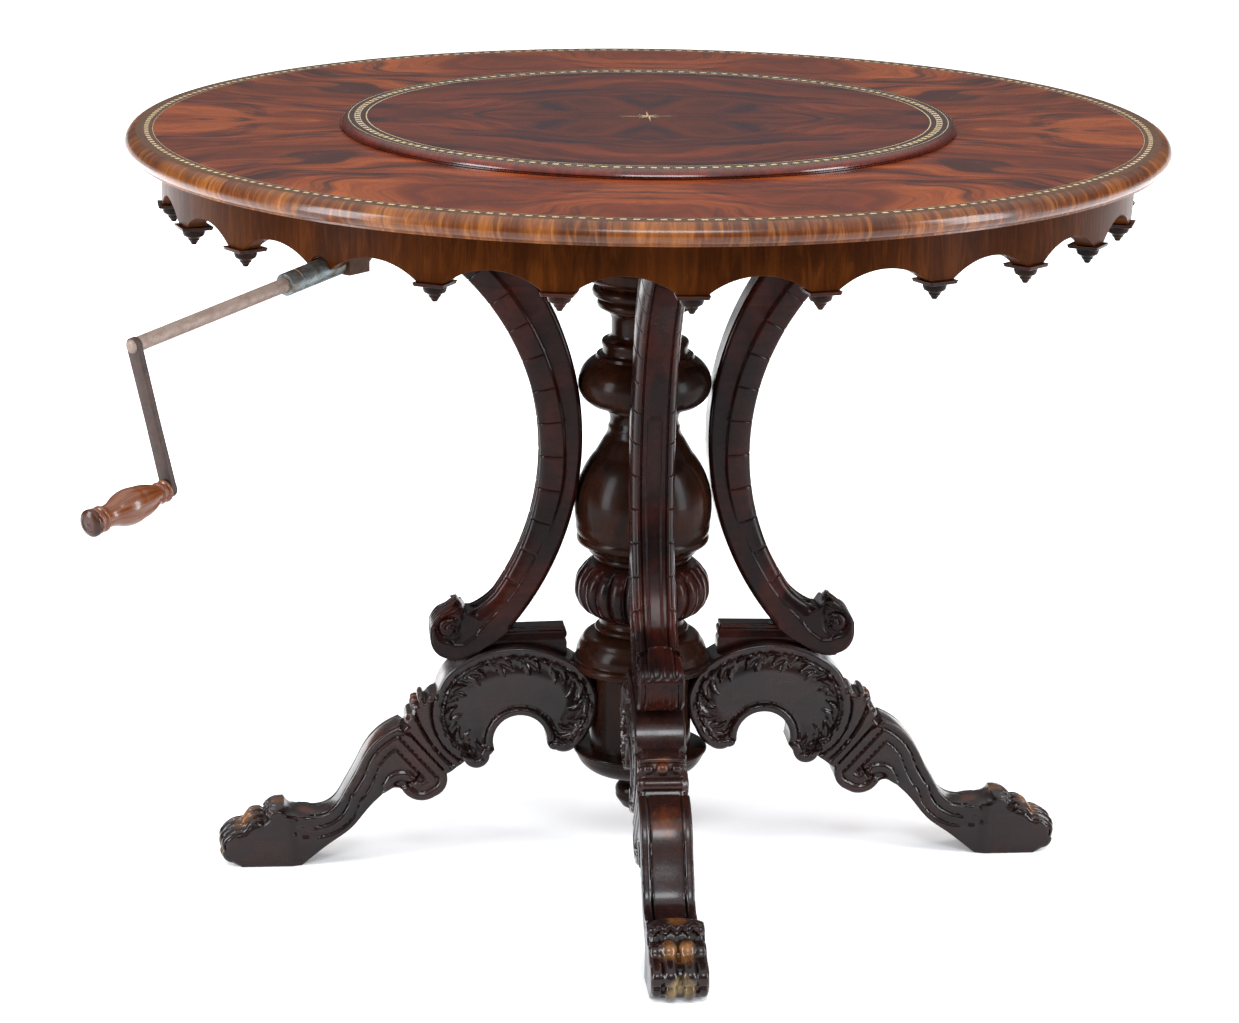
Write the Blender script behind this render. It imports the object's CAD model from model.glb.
"""A round pedestal centre table with a musical, crank-turned centre disc, dressed around its CAD frame.

Shapes are worked out in millimetres in the part's own frame and become metres when a mesh is made.
Legs, brackets and supports are drawn in a local frame: x outward from the column, y across, z up.
An outline is a list of (across, up) or (across, up, radius); a radius makes an arc to the next
point, and a positive one bulges to the right of the way, which keeps the solid on its left.
"""

import math

import bpy
import numpy as np
from mathutils import Matrix, Vector
from mathutils.geometry import delaunay_2d_cdt


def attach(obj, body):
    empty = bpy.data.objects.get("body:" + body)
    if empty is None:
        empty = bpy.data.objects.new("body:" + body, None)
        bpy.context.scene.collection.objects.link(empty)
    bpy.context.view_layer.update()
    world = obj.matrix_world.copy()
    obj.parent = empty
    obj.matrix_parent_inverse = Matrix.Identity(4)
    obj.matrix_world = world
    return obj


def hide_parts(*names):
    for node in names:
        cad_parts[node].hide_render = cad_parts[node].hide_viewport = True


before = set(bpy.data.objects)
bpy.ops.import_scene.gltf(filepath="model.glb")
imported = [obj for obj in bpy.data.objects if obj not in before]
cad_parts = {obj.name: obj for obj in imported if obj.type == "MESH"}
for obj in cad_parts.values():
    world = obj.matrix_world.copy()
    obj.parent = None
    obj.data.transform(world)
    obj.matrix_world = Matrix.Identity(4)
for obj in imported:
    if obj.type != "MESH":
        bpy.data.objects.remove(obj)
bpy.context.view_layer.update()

MM = 0.001
TAU = 2 * math.pi

# driving sizes, the same as the CAD part's
LEG_AZIMUTH, CRANK_AZIMUTH = 5.53, -38.2
LEG_NAMES = ("front", "right", "back", "left")
TABLE_HEIGHT, TOP_THICKNESS, TOP_RADIUS = 780, 22, 528
NOSING, BANDING, BANDING_DEPTH = 11, 18, 1.5
TOP_CHEQUERS, DISC_CHEQUERS = 260, 157
TOP_OPENING, DISC_RADIUS, DISC_GAP, DISC_PROUD = 136, 312, 0.5, 9
DISC_RIM, DISC_BANDING, VENEER_SINK = 6, 22, 0.06
STAR_LONG, STAR_SHORT, STAR_WAIST, STAR_CORNERS, STAR_TURN = 30.5, 14, 4.2, 16, 4
APRON_RADIUS, APRON_THICKNESS, TIP_BOTTOM = 492, 18, 707
ARCH_HEIGHT, TIP_WIDTH, BAYS, FIRST_DROP, MISSING_DROP = 17, 27, 25, -9.4, 2
PLATE_SIDE, PLATE_THICKNESS, DROP_CIRCLE = 32, 3.5, APRON_RADIUS - 11.5
APEX_HEIGHT, SHAFT_TILT = 766, math.degrees(math.asin(1 / 8))
ARM_PLACE, ARM_LENGTH, ARM_WIDTH, ARM_THICKNESS, ARM_SWING = 739, 133.7, 15.5, 6.5, 10.3
ROD_RADIUS, SLEEVE_RADIUS, TUBE_RADIUS = 6.9, 10.8, 9.6
SLEEVE_MOUTH, SLEEVE_SHOULDER, TUBE_START = 543.2, 470, 432
SHAFT_SOCKET_END, RUNNING_GAP, SOCKET_RADIUS = 477, 0.05, 8
GRIP_LENGTH, BUTTON_RADIUS, PIN_RADIUS = 91, 12.4, 4
ROD_BORE, SLEEVE_CLEARANCE, LOBES = 6.5, 1.5, 24
TOP_UNDERSIDE = TABLE_HEIGHT - TOP_THICKNESS
BEARER_UNDERSIDE = TOP_UNDERSIDE - 33


# -------- materials

def rgb(red, green, blue):
    """A linear colour from the 0-255 values that a screen shows."""
    return tuple(((c / 255 + 0.055) / 1.055) ** 2.4 if c > 10 else c / 255 / 12.92
                 for c in (red, green, blue)) + (1,)


SOCKETS = {"coat": "Coat Weight", "coat_roughness": "Coat Roughness",
           "specular": "Specular IOR Level", "metallic": "Metallic", "ior": "IOR"}


def shade_stops(elements, stops):
    """Fill a colour ramp; each stop is (where, colour or number)."""
    while len(elements) < len(stops):
        elements.new(0.5)
    for element, (where, amount) in zip(elements, stops):
        element.position = where
        element.color = amount if isinstance(amount, tuple) else (amount, amount, amount, 1)


class Shader:
    """A material whose node tree is built one node at a time."""

    def __init__(self, name, **sockets):
        self.material = bpy.data.materials.new(name)
        self.material.use_nodes = True
        self.tree = self.material.node_tree
        self.surface = self.tree.nodes["Principled BSDF"]
        for socket, amount in sockets.items():
            self.feed(self.surface.inputs[SOCKETS[socket]], amount)
        self.place = self.add("TexCoord").outputs["Object"]

    def feed(self, socket, amount):
        if isinstance(amount, bpy.types.NodeSocket):
            self.tree.links.new(amount, socket)
        else:
            socket.default_value = amount

    def add(self, kind, inputs=(), **settings):
        node = self.tree.nodes.new("ShaderNode" + kind)
        for name, amount in settings.items():
            setattr(node, name, amount)
        for socket, amount in dict(inputs).items():
            self.feed(node.inputs[socket], amount)
        return node

    def math(self, operation, first, second=0.0):
        return self.add("Math", {0: first, 1: second}, operation=operation).outputs[0]

    def times(self, first, second):
        return self.math("MULTIPLY", first, second)

    def scaled(self, scale, place=None, turn=(0, 0, 0)):
        """The place, turned and then stretched; a large number makes a pattern fine that way."""
        turned = self.add("Mapping", {"Vector": place or self.place, "Rotation": turn}).outputs[0]
        return self.add("Mapping", {"Vector": turned, "Scale": scale}).outputs[0]

    def noise(self, place, detail=4.0, roughness=0.55, distortion=0.0):
        return self.add("TexNoise", {"Vector": place, "Scale": 1.0, "Detail": detail,
                                     "Roughness": roughness, "Distortion": distortion}).outputs[0]

    def ramp(self, factor, *stops):
        """Colours or numbers along a factor; each stop is (where, colour or number)."""
        node = self.add("ValToRGB", {0: factor})
        shade_stops(node.color_ramp.elements, stops)
        return node.outputs[0]

    def mix(self, factor, first, second, blend="MIX"):
        node = self.add("Mix", data_type="RGBA", blend_type=blend)
        for index, amount in ((0, factor), (6, first), (7, second)):
            self.feed(node.inputs[index], amount)
        return node.outputs[2]

    def polar(self):
        """Radius, azimuth in radians and height, in metres, about the table's axis."""
        parts = self.add("SeparateXYZ", {0: self.place}).outputs
        squares = self.math("ADD", self.times(parts[0], parts[0]), self.times(parts[1], parts[1]))
        return self.math("SQRT", squares), self.math("ARCTAN2", parts[1], parts[0]), parts[2]

    def vector(self, x, y, z=0.0):
        return self.add("CombineXYZ", {0: x, 1: y, 2: z}).outputs[0]

    def edges(self, low, high):
        """1 on sharp edges and 0 elsewhere."""
        pointed = self.add("NewGeometry").outputs["Pointiness"]
        return self.ramp(pointed, (low, 0.0), (high, 1.0))

    def hollows(self):
        """1 in creases and 0 elsewhere."""
        pointed = self.add("NewGeometry").outputs["Pointiness"]
        return self.ramp(pointed, (0.4, 1.0), (0.49, 0.0))

    def near(self, centre, reach):
        """1 at a place and 0 beyond its reach, with a ragged edge."""
        apart = self.add("VectorMath", {0: self.place, 1: centre}, operation="DISTANCE")
        gap = apart.outputs["Value"]
        ragged = self.times(self.noise(self.scaled((60, 60, 60)), 4.0), reach * 0.9)
        share = self.math("DIVIDE", self.math("ADD", gap, ragged), reach)
        return self.ramp(share, (0.6, 1.0), (1.3, 0.0))

    def finish(self, colour, roughness, height=None, depth=0.0002):
        self.feed(self.surface.inputs["Base Color"], colour)
        self.feed(self.surface.inputs["Roughness"], roughness)
        if height is not None:
            bump = self.add("Bump", {"Height": height, "Strength": 1.0, "Distance": depth})
            self.feed(self.surface.inputs["Normal"], bump.outputs[0])
        return self.material


def polished_veneer(name, deep, dark, middle, light, lean, phase):
    """Flame mahogany in four mirrored quarters, its streaks bent by the crotch, under a polish."""
    wood = Shader(name, coat=0.14, coat_roughness=0.1, specular=0.32)
    parts = wood.add("SeparateXYZ", {0: wood.place}).outputs
    aside, away = (wood.math("ABSOLUTE", parts[0]), wood.math("ABSOLUTE", parts[1]))
    sway = wood.noise(wood.vector(wood.times(aside, 3.1), wood.times(away, 3.7), phase), 2.0)
    bend = wood.times(wood.math("SUBTRACT", sway, 0.5), 0.42)
    along = wood.math("ADD", aside, wood.times(away, lean))
    across = wood.math("ADD", wood.math("SUBTRACT", away, wood.times(aside, lean)), bend)

    def flow(lengthwise, crosswise, layer, detail, roughness, distortion):
        place = wood.vector(wood.times(along, lengthwise), wood.times(across, crosswise), phase + layer)
        return wood.noise(place, detail, roughness, distortion)

    clouds = flow(3.4, 8.5, 0.0, 4.0, 0.6, 0.9)
    flames = flow(5.0, 24.0, 3.0, 6.0, 0.66, 1.1)
    shade = flow(4.6, 9.0, 7.0, 5.0, 0.62, 1.8)
    grain = flow(34.0, 300.0, 11.0, 4.0, 0.7, 0.2)
    colour = wood.mix(0.5, wood.ramp(clouds, (0.36, dark), (0.5, middle), (0.64, light)),
                      wood.ramp(flames, (0.34, dark), (0.5, middle), (0.68, light)))
    colour = wood.mix(wood.ramp(shade, (0.49, 0.0), (0.62, 0.85)), colour, deep)
    colour = wood.mix(wood.ramp(grain, (0.36, 0.45), (0.58, 0.0)), colour, dark)
    return wood.finish(colour, wood.ramp(grain, (0.3, 0.34), (0.7, 0.24)), grain, 0.00004)


def golden_wood(name, dark, middle, light, upright, coat, specular, depth=0.00006, joints=0,
                ior=1.5):
    """Mahogany worn golden, its grain upright or across, with a dark line at each veneer joint."""
    wood = Shader(name, coat=coat, coat_roughness=0.14, specular=specular, ior=ior)
    radius, azimuth, height = wood.polar()
    around_it, up_it = wood.times(azimuth, 300.0), wood.times(height, 10.0 if upright else 60.0)
    fine = wood.noise(wood.vector(around_it, up_it, wood.times(radius, 20.0)), 4.0, 0.65, 0.3)
    broad = wood.noise(wood.vector(wood.times(azimuth, 48.0), wood.times(height, 14.0), radius),
                       4.0, 0.6, 1.2)
    tone = wood.noise(wood.vector(wood.times(azimuth, 7.0), height, radius), 2.0)
    colour = wood.ramp(tone, (0.32, dark), (0.5, middle), (0.68, light))
    colour = wood.mix(0.5, colour, wood.ramp(broad, (0.38, dark), (0.5, middle), (0.62, light)))
    colour = wood.mix(wood.ramp(fine, (0.32, 0.4), (0.58, 0.0)), colour, dark)
    if joints:
        slots = wood.math("PINGPONG", wood.times(azimuth, joints / TAU), 0.5)
        colour = wood.mix(wood.ramp(slots, (0.0, 0.6), (0.004, 0.0)), colour, dark)
    colour = wood.mix(wood.times(wood.edges(0.53, 0.62), 0.5), colour, light)
    return wood.finish(colour, wood.ramp(fine, (0.3, 0.36), (0.7, 0.26)), fine, depth)


def dark_mahogany(name, ground, warm, red, gloss, specular, wear=0.4, lengthwise="x",
                  worn_places=()):
    """Near-black polish over mahogany, worn back to red-brown on the edges and raised places.

    worn_places gives (centre, reach, colour) in metres, in the piece's own frame.
    """
    wood = Shader(name, coat=gloss, coat_roughness=0.13, specular=specular)
    stretch = [150, 150, 150]
    stretch["xyz".index(lengthwise)] = 9
    fibres = wood.noise(wood.scaled(stretch), 4.0, 0.65, 0.4)
    patches = wood.noise(wood.scaled((14, 14, 9)), 4.0, 0.6, 0.6)
    rubbed = wood.noise(wood.scaled((34, 34, 26)), 3.0, 0.6)
    colour = wood.mix(wood.ramp(patches, (0.4, 0.0), (0.66, red)), ground, warm)
    for centre, reach, bare in worn_places:
        share = wood.times(wood.near(centre, reach), wood.ramp(rubbed, (0.35, 0.5), (0.6, 1.0)))
        colour = wood.mix(share, colour, bare)
    colour = wood.mix(wood.ramp(fibres, (0.34, 0.5), (0.58, 0.0)), colour, rgb(13, 8, 7))
    worn = wood.times(wood.edges(0.54, 0.64), wood.ramp(rubbed, (0.38, 0.12), (0.62, wear)))
    colour = wood.mix(worn, colour, rgb(118, 60, 28))
    colour = wood.mix(wood.times(wood.hollows(), 0.8), colour, rgb(7, 5, 5))
    smear = wood.noise(wood.scaled((22, 22, 22)), 3.0)
    return wood.finish(colour, wood.ramp(smear, (0.35, 0.16), (0.65, 0.32)), fibres, 0.00008)


def plain_wood(name, dark, light):
    """Unpolished timber with its grain along x, for what is hidden under the top."""
    wood = Shader(name, specular=0.3)
    fibres = wood.noise(wood.scaled((5, 90, 90)), 5.0, 0.65, 0.8)
    pores = wood.noise(wood.scaled((25, 450, 450)), 2.0)
    colour = wood.mix(wood.ramp(pores, (0.36, 0.4), (0.5, 0.0)),
                      wood.ramp(fibres, (0.32, dark), (0.66, light)), dark)
    return wood.finish(colour, wood.ramp(fibres, (0.3, 0.7), (0.7, 0.6)), fibres, 0.00015)


def inlay(name, dark, light):
    """Small pieces of pale or dark wood, each a little different, under the polish."""
    wood = Shader(name, coat=0.7, coat_roughness=0.14, specular=0.35)
    tone = wood.noise(wood.scaled((160, 160, 40)), 3.0, 0.6)
    fibres = wood.noise(wood.scaled((700, 260, 60)), 3.0)
    colour = wood.mix(0.3, wood.ramp(tone, (0.32, dark), (0.66, light)),
                      wood.ramp(fibres, (0.35, dark), (0.65, light)))
    return wood.finish(colour, 0.35, fibres, 0.00003)


def metal(name, dark, light, rough, stretch=(60, 60, 60), rust=None, metallic=1.0):
    """Steel, iron or brass with drawn lines, dull patches and, where given, rust."""
    alloy = Shader(name, metallic=metallic)
    lines = alloy.noise(alloy.scaled([c * 6 for c in stretch]), 3.0, 0.6)
    patches = alloy.noise(alloy.scaled(stretch), 5.0, 0.62, 0.5)
    colour = alloy.ramp(patches, (0.34, dark), (0.62, light))
    if rust:
        spots = alloy.noise(alloy.scaled((130, 130, 90)), 5.0, 0.7)
        colour = alloy.mix(alloy.ramp(spots, (0.46, 0.0), (0.6, 0.85)), colour, rust)
    colour = alloy.mix(alloy.times(alloy.edges(0.53, 0.62), 0.4), colour, light)
    return alloy.finish(colour, alloy.ramp(lines, (0.3, rough + 0.14), (0.7, rough)), lines, 0.00006)


def pale_floor(name):
    """A matt studio sheet, lit a little from behind so that shadows on it stay faint."""
    paper = Shader(name, specular=0.05)
    tone = paper.noise(paper.scaled((0.6, 0.6, 0.6)), 2.0)
    colour = paper.ramp(tone, (0.3, rgb(243, 243, 244)), (0.7, rgb(246, 246, 247)))
    paper.feed(paper.surface.inputs["Emission Color"], colour)
    paper.surface.inputs["Emission Strength"].default_value = 0.22
    return paper.finish(colour, 0.9)


# where hands, feet and dusters have worn a leg's polish through: centre, reach and bare colour
WORN_LEG = [((0.284, 0, 0.132), 0.034, rgb(100, 48, 20)), ((0.352, 0, 0.056), 0.022, rgb(92, 46, 20)),
            ((0.33, 0, 0.085), 0.03, rgb(72, 44, 22)),
            ((0.378, 0, 0.066), 0.026, rgb(126, 78, 36)), ((0.418, 0, 0.048), 0.034, rgb(140, 92, 48)),
            ((0.445, 0, 0.014), 0.034, rgb(146, 122, 82)), ((0.24, 0, 0.18), 0.022, rgb(92, 46, 22))]

RECIPES = {
    "flame_veneer": (polished_veneer, (36, 19, 24), (72, 28, 16), (122, 50, 22), (178, 90, 38),
                     0.34, 1.7),
    "disc_veneer": (polished_veneer, (36, 19, 32), (56, 24, 20), (90, 35, 22), (134, 58, 30),
                    -0.42, 5.2),
    "nosing_mahogany": (golden_wood, (46, 20, 6), (92, 44, 13), (152, 90, 34),
                        {"upright": False, "coat": 0.36, "specular": 0.2}),
    "apron_mahogany": (golden_wood, (39, 15, 2), (56, 24, 3), (78, 38, 8),
                       {"upright": True, "coat": 0.0, "specular": 0.5, "depth": 0.00004,
                        "joints": 7, "ior": 1.09}),
    "carved_mahogany": (dark_mahogany, (23, 12, 12), (62, 22, 12),
                        {"red": 0.75, "gloss": 0.07, "specular": 0.08}),
    "leg_mahogany": (dark_mahogany, (25, 15, 15), (56, 25, 15),
                     {"red": 0.5, "gloss": 0.22, "specular": 0.2, "worn_places": WORN_LEG}),
    "turned_mahogany": (dark_mahogany, (21, 11, 7), (52, 23, 10),
                        {"lengthwise": "z", "red": 0.7, "gloss": 0.045, "wear": 0.3,
                         "specular": 0.055}),
    "banding": (inlay, (76, 44, 22), (108, 68, 36)),
    "pale_inlay": (inlay, (206, 172, 118), (240, 218, 174)),
    "beech": (plain_wood, (50, 29, 14), (76, 46, 24)),
    "cast_iron": (metal, (34, 34, 36), (62, 62, 64), 0.5),
    "steel": (metal, (120, 120, 122), (176, 176, 178), 0.28),
    "brass": (metal, (150, 112, 52), (204, 164, 86), 0.3),
    "grip_mahogany": (golden_wood, (50, 20, 7), (96, 45, 15), (140, 80, 34),
                      {"upright": True, "coat": 0.5, "specular": 0.3}),
    "grip_button": (dark_mahogany, (44, 25, 18), (86, 44, 26),
                    {"red": 0.9, "gloss": 0.12, "specular": 0.2}),
    "wrought_iron": (metal, (39, 30, 28), (60, 47, 43), 0.5,
                     {"stretch": (60, 60, 20), "rust": rgb(64, 43, 33), "metallic": 0.5}),
    "mottled_iron": (metal, (46, 54, 56), (124, 134, 136), 0.35,
                     {"stretch": (70, 70, 30), "rust": rgb(94, 76, 52), "metallic": 0.7}),
    "rod_steel": (metal, (117, 99, 89), (136, 119, 109), 0.5,
                  {"stretch": (30, 30, 8), "rust": rgb(111, 91, 80), "metallic": 0.3}),
    "disc_rim": (dark_mahogany, (78, 20, 8), (112, 36, 14),
                 {"lengthwise": "z", "red": 0.8, "gloss": 0.6, "wear": 0.9, "specular": 0.2}),
    "dark_inlay": (inlay, (44, 22, 20), (66, 34, 28)),
    "star_shade": (inlay, (110, 70, 40), (146, 98, 58)),
}


def finish_from(name, maker, *sizes):
    """The material that a recipe gives: its colours, then numbers, then settings by name."""
    settings = sizes[-1] if isinstance(sizes[-1], dict) else {}
    amounts = [rgb(*a) if isinstance(a, tuple) else a for a in sizes if not isinstance(a, dict)]
    return maker(name, *amounts, **settings)


FINISHES = {name: finish_from(name, *recipe) for name, recipe in RECIPES.items()}


# -------- outlines and meshes

def trace(outline, step, closed=True, marks=()):
    """Points along an outline, with each point's edge number and its distance along that edge.

    step is how far apart they are, or a dict of that by edge number with None for the rest.
    marks is a list of (edge, distance along it) where a fine cut needs points close together.
    """
    points, numbers, places = [], [], []
    count = len(outline) if closed else len(outline) - 1
    shifts = (-1.5, -0.7, 0, 0.7, 1.5)
    sharpest_turn = 0.05
    for number in range(count):
        start, end = outline[number], outline[(number + 1) % len(outline)]
        start_point, chord = np.array(start[:2], float), np.array(end[:2], float) - start[:2]
        width = np.hypot(*chord)
        radius = start[2] if len(start) == 3 else None
        pitch = step.get(number, step[None]) if isinstance(step, dict) else step
        if radius:
            half_angle = math.asin(min(1, width / 2 / abs(radius)))
            length = 2 * half_angle * abs(radius)
            pieces = max(2, math.ceil(max(length / pitch, half_angle / sharpest_turn)))
        else:
            length = width
            pieces = max(1, math.ceil(length / pitch))
        stops = set(np.linspace(0, 1, pieces + 1)[:-1])
        for edge, where in marks:
            if edge == number:
                stops |= {min(max((where + shift) / length, 0), 0.9999) for shift in shifts}
        for stop in sorted(stops):
            if radius:
                angle = (2 * stop - 1) * half_angle
                along = 0.5 + math.sin(angle) * abs(radius) / width
                rise = (math.cos(angle) - math.cos(half_angle)) * radius
                right = np.array([chord[1], -chord[0]]) / width
                points.append(start_point + chord * along + right * rise)
            else:
                points.append(start_point + chord * stop)
            numbers.append(number)
            places.append(stop * length)
    if not closed:
        points.append(np.array(outline[-1][:2], float))
        numbers.append(count)
        places.append(0)
    return np.array(points), np.array(numbers), np.array(places)


def softened(line, edges, blended, passes=14):
    """The line with the corners between the named edges eased away."""
    named = np.isin(edges, blended)
    free = (named & np.roll(named, 1) & np.roll(named, -1))[:, None]
    for _ in range(passes):
        line = np.where(free, (np.roll(line, 1, axis=0) + np.roll(line, -1, axis=0)) / 2, line)
    return line


def grid_faces(rows, columns, wrap_rows=False, wrap_columns=False):
    """Four-sided faces over a grid of points stored row by row."""
    faces = []
    for row in range(rows if wrap_rows else rows - 1):
        for column in range(columns if wrap_columns else columns - 1):
            below = ((row + 1) % rows) * columns
            here = row * columns
            right = (column + 1) % columns
            faces.append((here + column, here + right, below + right, below + column))
    return faces


def angles_round(count):
    return np.arange(count) * TAU / count


def turned_over(faces):
    return [tuple(reversed(f)) for f in faces]


def end_faces(count, total):
    """The two faces that close a tube whose rows hold count points each, total points in all."""
    return [tuple(reversed(range(count))), tuple(range(total - count, total))]


def outward_of(line):
    """The directions that point out of a closed line, one at each of its points."""
    along = np.roll(line, -1, axis=0) - np.roll(line, 1, axis=0)
    return np.stack([along[:, 1], -along[:, 0]], 1) / np.hypot(*along.T)[:, None]


def mesh_of(name, points, faces, finishes, crease, kinds=None):
    """A mesh from points in millimetres; kinds gives each face's place in the finishes."""
    mesh = bpy.data.meshes.new(name)
    mesh.from_pydata((np.asarray(points, float) * MM).tolist(), [], faces)
    for finish in finishes:
        mesh.materials.append(FINISHES[finish])
    if kinds is not None:
        mesh.polygons.foreach_set("material_index", np.asarray(kinds, np.int32))
    mesh.update()
    mesh.shade_smooth()
    mesh.set_sharp_from_angle(angle=math.radians(crease))
    return mesh


def linked(name, data):
    """A new object of the scene."""
    thing = bpy.data.objects.new(name, data)
    bpy.context.scene.collection.objects.link(thing)
    return thing


def piece_of(name, points, faces, finish, body="table", stands_for=None, crease=38,
             frame_matrix=None, kinds=None):
    """A finished piece; finish is one name, or the list of names that the kinds pick from."""
    finishes = [finish] if isinstance(finish, str) else finish
    mesh = mesh_of(name, points, faces, finishes, crease, kinds)
    put(name, mesh, body, stands_for, frame_matrix)


def put(name, mesh, body="table", stands_for=None, frame_matrix=None):
    """Place a mesh as a named piece that rides on a body and stands for a node of the frame."""
    piece = linked(name, mesh)
    if frame_matrix is not None:
        piece.matrix_world = frame_matrix
    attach(piece, body)
    if stands_for:
        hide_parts(stands_for)


def put_four(prefix, mesh, node):
    """One mesh as four pieces, a quarter turn apart, that stand for the frame's four nodes."""
    for quarter, name in enumerate(LEG_NAMES):
        put(f"{prefix}_{name}", mesh, stands_for=f"{node}_{name}",
            frame_matrix=around(LEG_AZIMUTH + 90 * quarter))


def around(azimuth, radius=0.0, height=0.0):
    """The frame whose +x points outward at this azimuth; radius and height in millimetres."""
    turn = Matrix.Rotation(math.radians(azimuth - 90), 4, "Z")
    return turn @ Matrix.Translation(Vector((radius * MM, 0, height * MM)))


def on_shaft(along=0.0, swing=0.0):
    """The crank shaft's frame: +z runs outward along it from the apex, +x is its upper side."""
    tilt = Matrix.Rotation(math.radians(90 + SHAFT_TILT), 4, "Y") @ Matrix.Rotation(math.pi, 4, "Z")
    shift = Matrix.Translation(Vector((0, 0, along * MM)))
    spin = Matrix.Rotation(math.radians(swing), 4, "Z")
    return around(CRANK_AZIMUTH, 0, APEX_HEIGHT) @ tilt @ shift @ spin


def lathe(name, outline, finish, segments, step, waves=None, **placing):
    """A turned piece.  An outline that starts and ends on the axis is closed with points there.

    waves(radius, height, angle) gives the radius where the turning is then carved.
    """
    on_axis = outline[0][0] == 0
    profile = trace(outline, step, closed=not on_axis)[0]
    rows = profile[1:-1] if on_axis else profile
    angles = angles_round(segments)
    radii = np.repeat(rows[:, :1], segments, 1)
    heights = np.repeat(rows[:, 1:2], segments, 1)
    if waves:
        radii = waves(radii, heights, angles[None, :])
    points = np.stack([radii * np.cos(angles), radii * np.sin(angles), heights], -1).reshape(-1, 3)
    faces = grid_faces(len(rows), segments, wrap_rows=not on_axis, wrap_columns=True)
    if on_axis:
        first, last = len(points), len(points) + 1
        points = np.vstack([points, [0, 0, profile[0][1]], [0, 0, profile[-1][1]]])
        end = (len(rows) - 1) * segments
        for column in range(segments):
            right = (column + 1) % segments
            faces.append((first, right, column))
            faces.append((last, end + column, end + right))
    piece_of(name, points, turned_over(faces), finish, **placing)


# -------- the top

def inlaid_ring(name, lines, low, high, pairs, stands_for, body, finish_list):
    """A flush ring of inlay.  lines gives (outer radius, kind) from the inside out.

    Each kind is a place in finish_list, or a pair of them that alternate around the ring; the
    first line only gives the ring's inner radius.
    """
    count = 2 * pairs
    rows = [(radius, high) for radius, _ in lines] + [(lines[-1][0], low), (lines[0][0], low)]
    points = [(radius * math.cos(a), radius * math.sin(a), z)
              for radius, z in rows for a in angles_round(count)]
    kinds = []
    for row in range(len(rows)):
        kind = lines[row + 1][1] if row + 1 < len(lines) else 0
        kinds += list(kind) * pairs if isinstance(kind, tuple) else [kind] * count
    faces = grid_faces(len(rows), count, wrap_rows=True, wrap_columns=True)
    piece_of(name, points, faces, finish_list, body, stands_for, 30, kinds=kinds)


def table_top():
    edge = TOP_RADIUS - NOSING
    inner = edge - BANDING
    step = TABLE_HEIGHT - BANDING_DEPTH
    lathe("top_veneered_panel", [
        (TOP_OPENING, TOP_UNDERSIDE), (edge, TOP_UNDERSIDE), (edge, step), (inner, step),
        (inner, TABLE_HEIGHT), (TOP_OPENING, TABLE_HEIGHT)], "flame_veneer", segments=360, step=60,
        stands_for="top_panel")
    lathe("top_ovolo_nosing", [
        (edge, TOP_UNDERSIDE), (TOP_RADIUS - 6, TOP_UNDERSIDE), (TOP_RADIUS - 6, 760, 12),
        (TOP_RADIUS, 767, 13), (edge, TABLE_HEIGHT)], "nosing_mahogany", segments=360, step=1.5,
        stands_for="top_nosing")
    inlaid_ring("top_inlaid_banding", [
        (inner, 0), (inner + 0.7, 0), (inner + 1.1, 1), (inner + 5.2, 0), (inner + 9.6, (1, 0)),
        (edge, 0)], step, TABLE_HEIGHT, TOP_CHEQUERS, "top_banding", "table",
        ["banding", "pale_inlay"])


def star():
    """A compass star: thin rays, each half light and half dark, let in flush with the banding."""
    low, high = TABLE_HEIGHT + DISC_PROUD - BANDING_DEPTH, TABLE_HEIGHT + DISC_PROUD
    points, faces, kinds = [(0, 0, low), (0, 0, high)], [], []
    for step in range(STAR_CORNERS):
        radius = STAR_WAIST if step % 2 else (STAR_SHORT if step % 4 else STAR_LONG)
        angle = math.radians(STAR_TURN) + step * TAU / STAR_CORNERS
        points += [(radius * math.cos(angle), radius * math.sin(angle), z) for z in (low, high)]
    for step in range(STAR_CORNERS):
        here, after = 2 + 2 * step, 2 + 2 * ((step + 1) % STAR_CORNERS)
        for face in ((1, here + 1, after + 1), (0, after, here), (here, after, after + 1, here + 1)):
            faces.append(face)
            kinds.append(step % 2)
    piece_of("disc_inlaid_star", points, faces, ["pale_inlay", "star_shade"], "disc", "disc_star",
             20, kinds=kinds)


def disc():
    low, high = TABLE_HEIGHT + DISC_GAP, TABLE_HEIGHT + DISC_PROUD
    edge = DISC_RADIUS - DISC_RIM
    inner = edge - DISC_BANDING
    step = high - BANDING_DEPTH
    veneer = high - VENEER_SINK
    lathe("disc_veneered_panel", [
        (0, low), (edge, low), (edge, step), (inner, step), (inner, veneer), (0, veneer)],
        "disc_veneer", segments=300, step=60, body="disc", stands_for="centre_disc")
    lathe("disc_rim_moulding", [
        (edge, low), (DISC_RADIUS - 1.6, low), (DISC_RADIUS - 1.6, low + 1.4),
        (DISC_RADIUS, low + 2.6, 9), (edge, high)],
        "disc_rim", segments=300, step=1.2, body="disc", stands_for="disc_moulding")
    inlaid_ring("disc_inlaid_banding", [
        (inner, 2), (inner + 1.0, 2), (inner + 2.1, 1), (inner + 7.6, 2), (inner + 8.1, 1),
        (inner + 13.0, (1, 2)), (inner + 13.5, 1), (inner + 19, 2), (inner + 19.7, 1), (edge, 2)],
        step, high, DISC_CHEQUERS, "disc_banding", "disc", ["banding", "pale_inlay", "dark_inlay"])


# -------- the apron and its drops

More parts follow.
